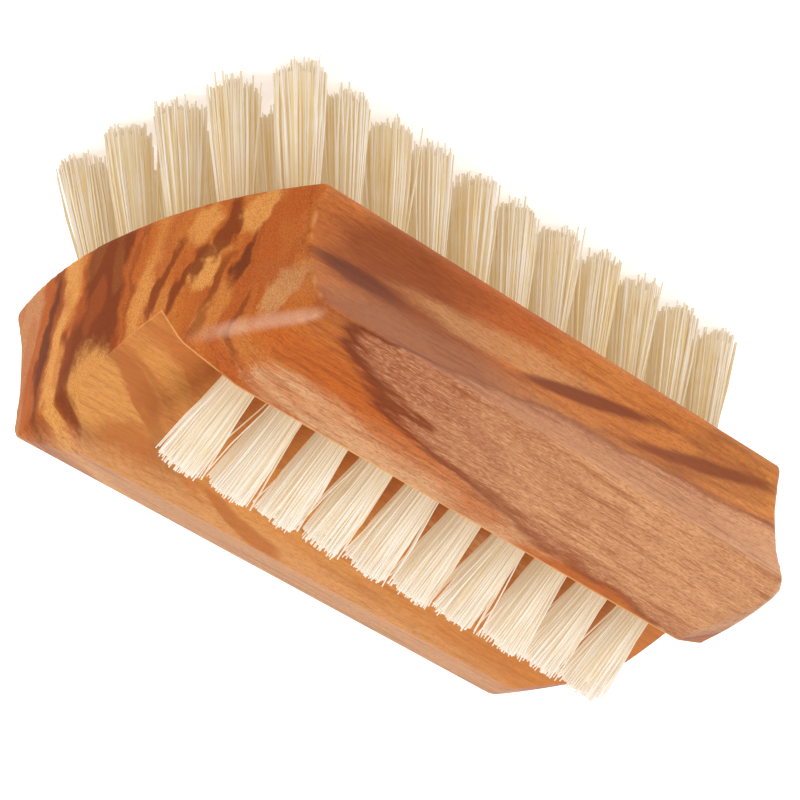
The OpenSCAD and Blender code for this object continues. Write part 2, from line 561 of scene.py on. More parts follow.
def place_in_mm(tree):
    place = Field(add(tree, "ShaderNodeTexCoord").outputs["Object"])
    return vector_maths("MULTIPLY", place, (1 / MM,) * 3)


def noise(place, scale, detail, roughness):
    inputs = {"Vector": place, "Scale": scale, "Detail": detail, "Roughness": roughness}
    return Field(add(place.tree, "ShaderNodeTexNoise", inputs).outputs["Fac"])


def grain_noise(place, along, scale, detail, roughness, start=(0.0, 0.0, 0.0), beside=1.0):
    """Noise drawn out along the brush, which is along the grain, and along the rings."""
    inputs = {"Vector": place, "Scale": (1 / along, 1.0, 1 / beside), "Location": start}
    stretched = Field(add(place.tree, "ShaderNodeMapping", inputs).outputs[0])
    return noise(stretched, scale, detail, roughness)


# %% Helpers for colours, materials and groups
def blend_colours(share, a, b, kind="MIX"):
    """Blends from colour a to colour b, which are fields or plain colours."""
    inputs = {0: share}
    for key, colour in ((6, a), (7, b)):
        inputs[key] = colour if isinstance(colour, Field) else (*colour, 1.0)
    node = add(share.tree, "ShaderNodeMix", inputs, data_type="RGBA", blend_type=kind)
    return Field(node.outputs[2])


def ramp(value, stops):
    """A colour ramp from a list of (place, colour) or (place, brightness)."""
    node = add(value.tree, "ShaderNodeValToRGB", {0: value})
    elements = node.color_ramp.elements
    while len(elements) < len(stops):
        elements.new(0.5)
    for element, (place, colour) in zip(elements, stops):
        element.position = place
        element.color = (*colour, 1.0) if isinstance(colour, tuple) else (colour,) * 3 + (1.0,)
    return Field(node.outputs["Color"])


def new_material(name):
    material = bpy.data.materials.new(name)
    material.use_nodes = True
    shader = material.node_tree.nodes["Principled BSDF"]
    shader.distribution = "GGX"
    return material, shader


def dress_shader(shader, fields, plain):
    """Links what changes over the surface, and sets the rest on the shader's own sockets."""
    for name, field in fields.items():
        field.tree.links.new(field.socket, shader.inputs[name])
    for name, value in plain.items():
        shader.inputs[name].default_value = value


def new_group(name, inputs, outputs):
    """A shader node group. inputs are (name, kind, value), and all outputs are values."""
    group = bpy.data.node_groups.new(name, "ShaderNodeTree")
    for socket_name, kind, value in inputs:
        socket = group.interface.new_socket(
            socket_name, in_out="INPUT", socket_type=f"NodeSocket{kind}"
        )
        socket.default_value = value
    for socket_name in outputs:
        group.interface.new_socket(socket_name, in_out="OUTPUT", socket_type="NodeSocketFloat")
    given = group.nodes.new("NodeGroupInput").outputs
    return group, {socket.name: Field(socket) for socket in given if socket.name}


def put_out(group, fields):
    end = group.nodes.new("NodeGroupOutput")
    for name, field in fields.items():
        group.links.new(field.socket, end.inputs[name])
    print(f"group {group.name}:", len(group.nodes), "nodes")


def use_group(group, inputs):
    """Places a group beside its inputs, and gives its outputs by name."""
    node = add(inputs["Place"].tree, "ShaderNodeGroup", inputs, node_tree=group)
    return {socket.name: Field(socket) for socket in node.outputs}


# %% [markdown]
# ## Rings, marks and fibres
#
# The figure of the wood comes from three things: the rings, single marks in them, and the fibres
# that run through both. Each could be written out where it is used. As node groups they are built
# once, can be looked at alone, and each mark only needs its own place and size.

# %% Node group: place across the rings
# All values are in mm. Distance runs through the rings, which lean over and drift along the brush,
# and Smooth is the same without the fray. Beside runs along the rings.
ZERO = (0.0, 0.0, 0.0)
ring_lean = math.radians(18)
lean_sine, lean_cosine = math.sin(ring_lean), math.cos(ring_lean)
rings, given = new_group(
    "rings",
    [("Place", "Vector", ZERO)],
    ["Distance", "Smooth", "Beside", "Ragged", "Waves", "Patch", "Corner"],
)
x, y, z = split(given["Place"])
height = z - face_z
middle_height = height - body_h / 2
from_end = x + half_len
drift_slope, back_drift_len, back_drift_w = 0.09, 34.0, 8.0
back_drift = spread(from_end, 0.0, back_drift_len, 0.0, back_drift_w)
drift = from_end * drift_slope + back_drift * spread(y, 3.0, 12.0, 1.0, 0.0)
through = y * lean_cosine + drift + middle_height * lean_sine
beside = middle_height * lean_cosine - y * lean_sine
ring_place = combine(x, through, beside)

# Each noise: how far it is drawn out, its scale, detail and roughness, and where it starts
slow = grain_noise(ring_place, 8.0, 0.12, 1.0, 0.5, start=(0.3, 5.1, 2.2), beside=1.5)
quick = grain_noise(ring_place, 8.0, 0.42, 2.0, 0.55, start=(4.3, 1.1, 7.2), beside=1.6)
ragged = grain_noise(ring_place, 12.0, 1.9, 3.0, 0.65, start=(2.3, 8.1, 3.2))
waves = grain_noise(ring_place, 9.0, 0.42, 2.0, 0.5, start=(7.3, 6.1, 1.2), beside=1.5)
patch = grain_noise(ring_place, 7.0, 0.24, 1.0, 0.45, start=(9.7, 3.1, 6.4), beside=2.6)
slow_bend, quick_bend, fray_width = 4.5, 3.2, 0.6
bend = (slow - 0.5) * slow_bend + (quick - 0.5) * quick_bend
smooth = bend + through
fray = (ragged - 0.5) * fray_width

# Corner is how far a place lies inside the ring that bends round the front edge. The ring's lower
# side lies at corner_h there, it tapers out at the near end, and grows towards the far end.
corner_h, corner_y = 9.4, 22.0
corner_slope, slope_growth = 0.95, 0.012
near_taper, far_growth = 0.175, 0.085
corner_fray, corner_bend = 2.4, 3.0
near_side = maths("MINIMUM", x, 0.0)
far_side = maths("MAXIMUM", x, 0.0)
steepness = near_side * slope_growth + corner_slope
corner = height - corner_h - (corner_y - y) * steepness
corner = corner + near_side * near_taper + far_side * far_growth
corner = corner + fray * corner_fray + (quick - 0.5) * corner_bend
put_out(
    rings,
    {
        "Distance": smooth + fray,
        "Smooth": smooth,
        "Beside": beside,
        "Ragged": ragged,
        "Waves": waves,
        "Patch": patch,
        "Corner": corner,
    },
)

# %% Node group: one mark of the figure
# A mark is a long ragged patch or streak. Its place and half sizes are in mm: along the brush,
# through the rings and along the rings. Tilt is how far it climbs along the rings for each mm
# along the brush, and turn is how far it leans through the rings for each mm along the rings.
marks, given = new_group(
    "mark",
    [
        ("Place", "Vector", ZERO),
        ("Centre", "Vector", ZERO),
        ("Half size", "Vector", ZERO),
        ("Tilt", "Float", 0.0),
        ("Turn", "Float", 0.0),
        ("Soft", "Float", 0.22),
        ("Ragged", "Float", 0.5),
        ("Waves", "Float", 0.5),
    ],
    ["Mask"],
)
x, y, z = split(vector_maths("SUBTRACT", given["Place"], given["Centre"]))
level = combine(x, y - z * given["Turn"], z - x * given["Tilt"])
reached = vector_maths("LENGTH", vector_maths("DIVIDE", level, given["Half size"]))
ragged_rim, wavy_rim = 0.55, 1.1
roughened = reached + (given["Ragged"] - 0.5) * ragged_rim + (given["Waves"] - 0.5) * wavy_rim
put_out(marks, {"Mask": spread(roughened, given["Soft"] + 1.0, 1.0 - given["Soft"])})

# %% Node group: fibres, flecks, pores and streaks
# Fibres are long thin lines along the grain. On the end of the grain they show as fine dots.
fibres, given = new_group(
    "fibres", [("Place", "Vector", ZERO)], ["Fibre", "Flecks", "Pores", "Streaks"]
)
place = given["Place"]
fibre = grain_noise(place, 16.0, 5.5, 3.0, 0.65)
fleck = grain_noise(place, 9.0, 9.0, 2.0, 0.6, start=(1.7, 2.1, 5.3))
pore = grain_noise(place, 5.0, 6.5, 1.0, 0.5, start=(6.1, 4.4, 0.9))
streak = grain_noise(place, 20.0, 1.5, 4.0, 0.65, start=(3.3, 7.4, 2.8))
put_out(
    fibres,
    {
        "Fibre": spread(fibre, 0.34, 0.66),
        "Flecks": spread(fleck, 0.42, 0.64),
        "Pores": spread(pore, 0.50, 0.68),
        "Streaks": spread(streak, 0.50, 0.66),
    },
)

# %% [markdown]
# ## The figure of this brush
#
# Every piece of olive wood has its own figure, and this one is read off the photograph in words
# and sizes: which bands cross the near end, and where its patches, veins and streaks lie. Noise
# alone could draw olive wood of some kind. Noise that bends bands and marks of known places draws
# this piece of it, and still looks grown.

# %% The colours of the wood
PALE = (0.72, 0.325, 0.085)
TAN = (0.62, 0.3, 0.115)
HONEY = (0.61, 0.22, 0.05)
ORANGE = (0.53, 0.15, 0.026)
DEEP_ORANGE = (0.53, 0.125, 0.018)
RUST = (0.46, 0.108, 0.021)
RED = (0.17, 0.028, 0.008)
BROWN = (0.205, 0.042, 0.01)
DARK = (0.125, 0.028, 0.011)
LEFT_TAN = (0.56, 0.245, 0.1)
BACK_TAN = (0.68, 0.34, 0.15)
STRIP_TAN = (0.69, 0.37, 0.185)
NOTCH_TAN = (0.7, 0.36, 0.16)
NOTCH_RED = (0.36, 0.058, 0.006)
NOTCH_RUST = (0.4, 0.075, 0.01)
NOTCH_STREAK = (0.38, 0.07, 0.01)
COVE_BROWN = (0.3, 0.1, 0.036)
CORNER = (0.6, 0.285, 0.13)
CORNER_DARK = (0.38, 0.12, 0.053)
CORNER_BROWN_AND_SHADE = (0.4, 0.165, 0.075)
CORNER_FLECK = (0.78, 0.44, 0.23)
BUFFED_AND_HIGHLIGHT = (0.86, 0.6, 0.42)
LIT_WALL_GOLD = (0.72, 0.32, 0.095)
WORN_AND_HIGHLIGHT = (0.76, 0.37, 0.12)
FIBRE_SHADE = (0.6, 0.5, 0.42)
print("palest wood against darkest vein:", round(PALE[0] / DARK[0], 1))

# %% The bands of this brush
# Places through the rings in mm, counted at the near end face from the middle of the brush
band_stops = [
    (-25.0, LEFT_TAN), (-17.4, LEFT_TAN), (-16.4, RUST), (-15.6, RUST), (-13.0, RUST),
    (-12.2, PALE), (-10.8, PALE), (-10.1, HONEY), (-9.6, RUST), (-8.8, BROWN), (-2.0, BROWN),
    (-1.2, RUST), (0.6, ORANGE), (1.6, HONEY), (3.0, RUST), (4.6, ORANGE), (5.8, RUST),
    (6.8, ORANGE), (8.0, ORANGE), (9.6, RUST), (10.8, ORANGE), (12.0, RUST), (14.4, RUST),
    (16.4, RUST), (18.2, RUST), (20.5, ORANGE), (22.5, RUST), (24.0, ORANGE), (26.5, HONEY),
    (28.0, ORANGE), (30.0, HONEY), (33.0, RUST),
]
# Dark veins: place, width and strength
veins = [
    (-13.9, 1.6, 0.95), (-8.4, 0.4, 0.4), (-0.5, 0.4, 0.6), (14.0, 0.4, 0.3), (18.4, 0.3, 0.4),
    (25.6, 0.5, 0.5), (29.0, 0.6, 0.5),
]
first_ring, last_ring = -25.0, 35.0


def ring_share(place):
    return (place - first_ring) / (last_ring - first_ring)


vein_stops = [(0.0, 0.0)]
for centre, width, strength in veins:
    for place, brightness in ((centre - width, 0.0), (centre, strength), (centre + width, 0.0)):
        vein_stops.append((ring_share(place), brightness))
print(len(band_stops), "bands,", len(veins), "dark veins")

# %% The marks of this brush
# Colour, strength, centre and half size (along the brush, through the rings, along the rings),
# softness, and the tilt and turn of a mark that isn't level. On the near end face first, from its
# left side to its right, then in the notch and on the back, on the strip in front of the notch,
# and on the front. The last six lie on the far end face, which the photograph hides.
figure_marks = [
    (PALE, 0.9, (-46, -4.8, 8.9), (12, 3.6, 4.2), 0.35),
    (BROWN, 0.8, (-45, -9.1, 7.5), (10, 1.2, 6.0), 0.25),
    (DARK, 0.85, (-45, -14.3, 3.5), (12, 0.7, 8.5), 0.45),
    (PALE, 0.55, (-46, 1.3, -0.5), (8, 1.2, 4.4), 0.3, 0.0, -0.1),
    (HONEY, 0.7, (-46, 4.4, 0.0), (8, 0.9, 2.6), 0.3, 0.0, -0.2),
    (PALE, 0.8, (-46, 6.6, -9.8), (8, 1.5, 2.6), 0.3, 0.0, -0.2),
    (PALE, 0.9, (-46, 8.4, -4.6), (8, 1.7, 3.0), 0.25, 0.0, -0.2),
    (HONEY, 0.85, (-46, 11.2, 0.2), (8, 1.6, 3.2), 0.35, 0.0, -0.2),
    (PALE, 0.85, (-45, 12.4, -11.8), (8, 1.8, 3.0), 0.3, 0.0, -0.3),
    (TAN, 0.8, (-44, 18.6, -2.6), (5, 1.3, 3.6), 0.25, 0.0, -0.25),
    (BROWN, 0.85, (-46, 3.7, -3.0), (8, 0.6, 4.8), 0.35, 0.0, -0.2),
    (BROWN, 0.9, (-46, 6.4, -2.6), (8, 0.7, 4.6), 0.35, 0.0, -0.2),
    (BROWN, 0.9, (-46, 9.4, -9.0), (8, 1.0, 4.2), 0.3, 0.0, -0.15),
    (BROWN, 0.8, (-46, 7.4, -6.4), (8, 1.4, 0.9), 0.3),
    (BROWN, 0.7, (-46, 10.4, -3.0), (8, 0.6, 3.6), 0.4, 0.0, -0.2),
    (DARK, 0.85, (-45, 12.7, -5.6), (8, 0.7, 3.0), 0.35, 0.0, -0.1),
    (RUST, 0.8, (-45, 13.6, -0.5), (8, 1.0, 3.6), 0.45, 0.0, -0.1),
    (HONEY, 0.55, (-42, 15.5, 3.0), (9, 2.6, 2.2), 0.45),
    (BROWN, 0.7, (-43, 14.4, 1.0), (6, 0.5, 3.5), 0.4, 0.0, -0.2),
    (BROWN, 0.55, (-43, 10.2, 2.0), (6, 0.5, 3.5), 0.4, 0.0, -0.2),
    (DEEP_ORANGE, 0.8, (-41, 18.0, 2.0), (5, 2.2, 2.2), 0.4),
    (PALE, 0.8, (6, -1.0, 6.0), (41, 11.0, 7.0), 0.3),
    (NOTCH_TAN, 0.75, (32, -3.0, 6.0), (26, 9.0, 7.0), 0.4),
    (RUST, 0.6, (-30, -2.0, 3.0), (14, 1.2, 3.0), 0.4),
    (RUST, 0.75, (-8, 5.0, 9.0), (17, 0.9, 5.0), 0.35),
    (PALE, 0.7, (-38, 1.6, 5.0), (7, 1.5, 3.0), 0.35),
    (NOTCH_RED, 0.9, (-41, -1.8, 6.7), (7, 0.8, 2.2), 0.22, 0.29, 0.0),
    (NOTCH_RUST, 0.85, (-35, -5.0, 11.4), (6, 3.0, 2.0), 0.3),
    (BACK_TAN, 0.85, (0, -5.0, 15.5), (70, 16.0, 3.8), 0.3),
    (NOTCH_STREAK, 0.85, (-15, 0.2, 12.4), (9, 0.8, 1.4), 0.28, 0.08, 0.0),
    (STRIP_TAN, 0.95, (-6, 16.2, 5.6), (40, 3.6, 2.2), 0.25),
    (RUST, 0.45, (-4, 17.4, 5.2), (34, 0.5, 3.0), 0.5),
    (BROWN, 0.75, (-26, 21.0, -10.0), (15, 4.0, 6.0), 0.4),
    (COVE_BROWN, 0.8, (-24, 23.0, -4.4), (17, 6.0, 3.2), 0.4, -0.08, 0.0),
    (TAN, 0.65, (-10, 22.5, -10.2), (18, 4.0, 1.8), 0.4, -0.05, 0.0),
    (DARK, 0.9, (-34, 20.5, -7.9), (8, 3.0, 1.1), 0.4),
    (BROWN, 0.95, (7, 24.0, -10.3), (14, 4.0, 0.8), 0.4, -0.17, 0.0),
    (BROWN, 0.85, (27, 26.0, -10.4), (16, 4.0, 0.8), 0.45, -0.18, 0.0),
    (BROWN, 0.8, (46, 1.5, -4.0), (9, 0.9, 5.5), 0.35, 0.0, -0.15),
    (PALE, 0.85, (46, 5.0, -4.5), (9, 1.8, 4.5), 0.3, 0.0, -0.2),
    (DARK, 0.75, (46, 8.6, -4.0), (9, 0.6, 5.0), 0.4, 0.0, -0.15),
    (PALE, 0.8, (46, 12.0, -5.0), (8, 1.6, 4.0), 0.3, 0.0, -0.2),
    (BROWN, 0.85, (46, 19.0, -5.0), (8, 0.9, 4.5), 0.35, 0.0, -0.15),
    (HONEY, 0.8, (46, 22.5, -4.0), (8, 1.8, 4.0), 0.4, 0.0, -0.15),
]
print(len(figure_marks), "marks")

# %% [markdown]
# ## The wood's colour, layer by layer
#
# The colour is built up as the wood was: first bands, veins and marks, then the ring that bends
# round the front corner, then the fibres, and last what making and use did to it, the buffed and
# worn edges. Painted shade lies along the front edge too, a painted highlight on the buffed and
# worn edges, and painted light on the walls of the notch. One huge node set could do it all at
# once, but layers can be judged one at a time.

# %% Bands, patches and veins
olive, shader = new_material("oiled olive wood")
tree = shader.id_data
place = place_in_mm(tree)
x, y, z = split(place)
ring = use_group(rings, {"Place": place})
waves = ring["Waves"]
along_rings = (ring["Distance"] - first_ring) / (last_ring - first_ring)
wood_colour = ramp(along_rings, [(ring_share(at), colour) for at, colour in band_stops])
patch = ring["Patch"]
wood_colour = blend_colours(spread(patch, 0.53, 0.58, 0.0, 0.1), wood_colour, PALE)
wood_colour = blend_colours(spread(patch, 0.45, 0.40, 0.0, 0.35), wood_colour, RUST)
fading = spread(patch, 0.35, 0.55, 1.0, 0.55)
wood_colour = blend_colours(ramp(along_rings, vein_stops) * fading, wood_colour, DARK)
print("after the bands:", len(tree.nodes), "nodes")

# %% Marks
long_mark = 41
ring_place = combine(x, ring["Smooth"], ring["Beside"])
for mark_colour, strength, centre, half_size, soft, *slants in figure_marks:
    tilt, turn = slants or (0.0, 0.0)
    inputs = {
        "Place": ring_place,
        "Centre": centre,
        "Half size": half_size,
        "Tilt": tilt,
        "Turn": turn,
        "Soft": soft,
        "Ragged": ring["Ragged"],
    }
    # The waves would tear the ends of the longest marks
    if half_size[0] < long_mark:
        inputs["Waves"] = waves
    mask = use_group(marks, inputs)["Mask"]
    wood_colour = blend_colours(mask * strength, wood_colour, mark_colour)
print("after the marks:", len(tree.nodes), "nodes")

# %% The ring at the front corner
# It is brown with light flecks, darker at the near end and along its rim
grain = use_group(fibres, {"Place": place})
corner = ring["Corner"]
near_end_share = spread(x, -36.0, 22.0, 1.0, 0.0)
near_rim = spread(corner, 0.5, 3.5, 0.6, 0.0)
darkness = maths("MAXIMUM", near_end_share, near_rim)
darkness = maths("ADD", darkness, spread(waves, 0.35, 0.65, -0.25, 0.25), clamp=True)
corner_wood = blend_colours(darkness, CORNER, CORNER_DARK)
flecked = grain["Flecks"] * spread(grain["Streaks"], 0.0, 1.0, 0.45, 0.15)
corner_wood = blend_colours(flecked, corner_wood, CORNER_FLECK)
wood_colour = blend_colours(spread(corner, -0.3, 0.9), wood_colour, corner_wood)

# An orange rim, and a dark red line where the ring starts
rim_share = spread(abs(corner + 0.7), 1.8, 0.2) * near_end_share
rim_share = rim_share * spread(y, 16.0, 20.5, 1.0, 0.0)
wood_colour = blend_colours(rim_share, wood_colour, DEEP_ORANGE)
line_share = spread(abs(corner - 0.3), 0.65, 0.0) * (near_end_share * 0.4 + 0.5)
wood_colour = blend_colours(line_share, wood_colour, RED)

# A soft brown band along the front edge, on the upper part of the cove: partly the wood's darker
# brown, partly painted shade
inputs = {
    "Place": ring_place,
    "Centre": (-6, 23.0, -4.6),
    "Half size": (44, 9.0, 2.6),
    "Soft": 0.5,
}
brown_and_shade_strength = 0.4
corner_brown_and_shade = use_group(marks, inputs)["Mask"] * brown_and_shade_strength
wood_colour = blend_colours(corner_brown_and_shade, wood_colour, CORNER_BROWN_AND_SHADE)
print("after the corner:", len(tree.nodes), "nodes")

# %% Fibres, streaks and pores
# They darken what they cross. On the end of the grain the fibres are stronger, the streaks weaker.
normal = Field(add(tree, "ShaderNodeTexCoord").outputs["Normal"])
across_grain = abs(split(normal)[0])
end_share = spread(across_grain, 0.3, 0.8)
fibre_shade = ramp(grain["Fibre"], [(0.0, FIBRE_SHADE), (1.0, 1.0)])
wood_colour = blend_colours(end_share * 0.1 + 0.5, wood_colour, fibre_shade, "MULTIPLY")
streaked = grain["Streaks"] * (end_share * -0.32 + 0.40)
wood_colour = blend_colours(streaked, wood_colour, BROWN)
pore_strength = 0.35
wood_colour = blend_colours(grain["Pores"] * pore_strength, wood_colour, BROWN)
print("after the fibres:", len(tree.nodes), "nodes")

# %% The buffed edge between each end face and its slope, with a painted highlight
buffed_and_highlight_w = 1.5
buff_and_highlight_strength = 0.3
from_axis = length_of(abs(x) - end_centre, y)
edge_distance = length_of(from_axis - end_r, z - (face_z + end_face_h))
buffed_and_highlight = spread(edge_distance, buffed_and_highlight_w, 0.0) * spread(y, front_leg_y - 1.0, front_leg_y + 7.0)
buffed_and_highlight = buffed_and_highlight * spread(waves, 0.3, 0.6, 0.65, 1.0)
# The edge is painted paler: partly buffed wood, partly a painted highlight
wood_colour = blend_colours(buffed_and_highlight * buff_and_highlight_strength, wood_colour, BUFFED_AND_HIGHLIGHT)
print("buffed over", buffed_and_highlight_w, "mm on both sides of the edge")

# %% Painted light on the milled walls of the notch
# They are painted lighter and more golden than the rest, as painted light. A place is on a wall if
# it lies in the wall's plane and faces the same way.
painted_light_strength = 0.33
above_walls = []
off_walls = []
lit_walls = []
for wall_normal in (
    (0.0, -math.sin(steep_angle), math.cos(steep_angle)),
    (0.0, math.sin(shallow_angle), math.cos(shallow_angle)),
):
    bottom = notch_y * wall_normal[1] + (face_z + notch_floor_h) * wall_normal[2]
    above_wall = vector_maths("DOT_PRODUCT", place, wall_normal) - bottom
    off_wall = spread(vector_maths("DOT_PRODUCT", normal, wall_normal), 0.96, 0.99, 1.0, 0.0)
    lit_walls.append(spread(abs(above_wall), 0.4, 0.2) * (1.0 - off_wall))
    above_walls.append(above_wall)
    off_walls.append(off_wall)
# Painted light: both walls are blended towards a lighter gold
wood_colour = blend_colours(maths("MAXIMUM", *lit_walls) * painted_light_strength, wood_colour, LIT_WALL_GOLD)
print(len(lit_walls), "milled walls")

# %% Worn edges with a painted highlight
# The crisp edges of the notch are worn to a thin pale line, partly wear and partly a painted
# highlight. The notch is what lies above both walls' planes, so the smaller of the two distances
# says how far a place is from its rim.
rim_distance = abs(maths("MINIMUM", *above_walls))
rim_wear_and_highlight = off_walls[0] * off_walls[1] * spread(rim_distance, 0.26, 0.08)
rim_wear_and_highlight = rim_wear_and_highlight * spread(y, -5.0, 2.0, 0.25, 1.0)

# So is the upright edge between each end face and the finger coves
from_cove_axis = length_of(
    abs(y) - (side_w + cove_r - cove_depth), z - (face_z + land_h + cove_half)
)
upright_distance = maths("MAXIMUM", abs(from_cove_axis - cove_r), abs(from_axis - end_r))
upright_wear_and_highlight = spread(upright_distance, 0.55, 0.0, 0.0, 0.7) * spread(waves, 0.42, 0.58)
wear_and_highlight = maths("MAXIMUM", rim_wear_and_highlight, upright_wear_and_highlight) * spread(waves, 0.35, 0.6, 0.2, 0.7)
# The pale line is partly wear, partly a painted highlight
wood_colour = blend_colours(wear_and_highlight, wood_colour, WORN_AND_HIGHLIGHT)
print("after the wear:", len(tree.nodes), "nodes")

# %% Shine and bump of the wood
# The wax film lies on the sides and soaks into the ends. It shines most on the buffed edge.
end_roughness = 0.25
roughness = spread(grain["Fibre"], 0.0, 1.0, 0.42, 0.55) + end_share * end_roughness
wax = maths("MAXIMUM", spread(across_grain, 0.3, 0.85, 0.05, 0.02), buffed_and_highlight)
fibre_depth = 0.02 * MM
bump_inputs = {"Height": grain["Fibre"], "Distance": fibre_depth, "Strength": 0.5}
bump = add(tree, "ShaderNodeBump", bump_inputs)
dress_shader(
    shader,
    {
        "Base Color": wood_colour,
        "Roughness": roughness,
        "Coat Weight": wax,
        "Normal": Field(bump.outputs[0]),
    },
    {
        "Coat Roughness": 0.28,
        "Specular IOR Level": 0.12,
        "Specular Tint": (1.0, 0.72, 0.48, 1.0),
    },
)
wood.data.materials.clear()
wood.data.materials.append(olive)
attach(wood, "root")
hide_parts("wooden_body")
print("olive wood:", len(tree.nodes), "nodes")

# %% [markdown]
# ## Bristles
#
# A tuft is a bundle of stiff pale bristles, folded in half and stapled into its hole. Hair or
# curves would draw them fast, but the result has to be solid, so each bristle is a thin closed
# rod. One rod is modelled by extruding a small square and tapering its tip. Every tuft is then
# made of copies of that rod: each starts inside the hole, fans out, bends a little and ends at
# its own height, with a few strays that lean away from the rest. So close together that no light
# gets between them, the bristles in the heart of a tuft are drawn as one plain core.

# %% Model one bristle, and the heart of a tuft
def closed_rod(sides, rings_along, tip_share):
    """Points and faces of a closed rod of radius 1 and length 1, tapered at its tip."""
    bpy.ops.mesh.primitive_circle_add(vertices=sides, radius=1.0, fill_type="NGON")
    rod = bpy.context.active_object
    edit(rod)
    rise = {"value": (0, 0, 1 / rings_along)}
    for step in range(rings_along):
        bpy.ops.mesh.extrude_region_move(TRANSFORM_OT_translate=rise)
    bpy.ops.transform.resize(value=(tip_share, tip_share, 1.0))
    bpy.ops.mesh.select_all(action="SELECT")
    bpy.ops.mesh.normals_make_consistent(inside=False)
    object_mode()
    points = np.array([v.co[:] for v in rod.data.vertices])
    faces = [tuple(p.vertices) for p in rod.data.polygons]
    bpy.data.objects.remove(rod)
    return points, faces


rod_points, rod_faces = closed_rod(sides=4, rings_along=4, tip_share=0.7)
core_points, core_faces = closed_rod(sides=20, rings_along=8, tip_share=1.0)
print("one bristle:", len(rod_points), "points,", len(rod_faces), "faces")
print("one core:", len(core_points), "points,", len(core_faces), "faces")

# %% How the bristles of a tuft scatter, bow and end, in mm
golden_angle = math.pi * (3 - math.sqrt(5))
core_share = 0.91
core_short = 1.9
core_waver = (0.95, 1.03)
# The core takes the dark tone, as painted shade in the deep gaps between the strands
core_shade_tone = 1.2
fan_scatter = 0.22
tip_scatter = 0.16
stray_reach = (0.4, 1.6)
clumps = 12
clump_steps = (0.3, 2.0)
trim_scatter = 0.3
bow_scatter = 0.14
bow_outwards = (0.12, 0.1)
thickness = (0.85, 1.12)
print("a tuft ends in", clumps, "steps")


# %% Gather copies into a tuft
def tuft_copies(rng, count, bristle_r, root_r, tip_r, depth, length, lean, ragged, stray_share):
    """Points, tones and heights of a tuft, in mm from the mouth of its hole, the core first."""
    number = np.arange(count)
    from_middle = np.sqrt((number + 0.5) / count)
    angle = number * golden_angle + rng.uniform(0, 2 * math.pi)
    way = np.stack([np.cos(angle), np.sin(angle)], axis=1)
    root = way * (from_middle * (root_r - bristle_r))[:, None]
    fan = from_middle * (tip_r - bristle_r) + rng.normal(0, fan_scatter, count)
    tip = way * fan[:, None] + rng.normal(0, tip_scatter, (count, 2)) + np.array(lean)
    stray = rng.random(count) < stray_share
    tip[stray] += way[stray] * rng.uniform(*stray_reach, (stray.sum(), 1))
    # Neighbours end at much the same height, so the top of a tuft is stepped
    clump_places = rng.uniform(-tip_r, tip_r, (clumps, 2))
    far = np.linalg.norm(tip[:, None, :] - clump_places[None, :, :], axis=2)
    step = rng.uniform(*clump_steps, clumps)[np.argmin(far, axis=1)]
    short = ragged * (step + np.abs(rng.normal(0, trim_scatter, count)))
    tip_z = length - np.where(rng.random(count) < stray_share, 0.0, short)
    bow = rng.normal(0, bow_scatter, (count, 2)) + way * rng.normal(*bow_outwards, (count, 1))

    t = rod_points[:, 2]
    z = -depth + np.outer(tip_z + depth, t)
    free = np.clip(z / length, 0, None)
    centre = (
        root[:, None, :]
        + (tip - root)[:, None, :] * free[:, :, None]
        + bow[:, None, :] * (4 * free * (1 - free))[:, :, None]
    )
    turn = rng.uniform(0, math.pi / 2, count)
    size = bristle_r * rng.uniform(*thickness, count)
    c, s = (np.cos(turn) * size)[:, None], (np.sin(turn) * size)[:, None]
    x = centre[:, :, 0] + rod_points[:, 0] * c - rod_points[:, 1] * s
    y = centre[:, :, 1] + rod_points[:, 0] * s + rod_points[:, 1] * c
    points = np.stack([x, y, z], axis=2).reshape(-1, 3)
    tone = np.repeat(rng.random(count), len(t))

    core_z = core_points[:, 2] * (length - core_short + depth) - depth
    core_free = np.clip(core_z / length, 0, None)
    core_r = core_share * (root_r + (tip_r - root_r) * core_free)
    core_r = core_r * rng.uniform(*core_waver, len(core_r))
    core_xy = core_points[:, :2] * core_r[:, None] + np.outer(core_free, lean)
    return (
        np.concatenate([np.column_stack([core_xy, core_z]), points]),
        np.concatenate([np.full(len(core_z), core_shade_tone), tone]),
        np.concatenate([core_free, free.reshape(-1)]),
    )


# %% Join tufts into one piece
soft_angle = math.radians(60)


def make_bristles(name, tufts, material, node):
    """One piece from several tufts. tufts is a list of (place, tuft_copies result)."""
    points = []
    tones = []
    heights = []
    faces = []
    for place, (local, tone, free) in tufts:
        points.append(local * MM @ np.array(place.to_3x3()).T + np.array(place.translation))
        tones.append(tone)
        heights.append(free)
    first = 0
    for tuft in points:
        faces += [tuple(corner + first for corner in face) for face in core_faces]
        for start in range(first + len(core_points), first + len(tuft), len(rod_points)):
            faces += [tuple(corner + start for corner in face) for face in rod_faces]
        first += len(tuft)
    points = np.concatenate(points)
    mesh = bpy.data.meshes.new(name)
    mesh.from_pydata(points.tolist(), [], faces)
    mesh.validate()
    for attribute, values in (("tone", tones), ("free_share", heights)):
        layer = mesh.attributes.new(attribute, "FLOAT", "POINT")
        layer.data.foreach_set("value", np.concatenate(values).astype(np.float32))
    mesh.materials.append(material)
    piece = bpy.data.objects.new(name, mesh)
    bpy.context.scene.collection.objects.link(piece)
    select_only(piece)
    bpy.ops.object.shade_smooth_by_angle(angle=soft_angle)
    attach(piece, "root")
    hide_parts(node)


# %% [markdown]
# ## The bristles' colours
#
# Natural bristle is cream with yellower strands among it, and bleached at its tips. Painted shade
# darkens it where it leaves the wood, and a warm glow of painted light fills the shade between its
# strands. One colour with noise would blotch the whole tuft. So every bristle carries a tone of
# its own and every point its height above the wood, as attributes of the mesh, and the materials
# read both.

# %% Bristle materials
def point_attribute(tree, name):
    return Field(add(tree, "ShaderNodeAttribute", attribute_name=name).outputs["Fac"])


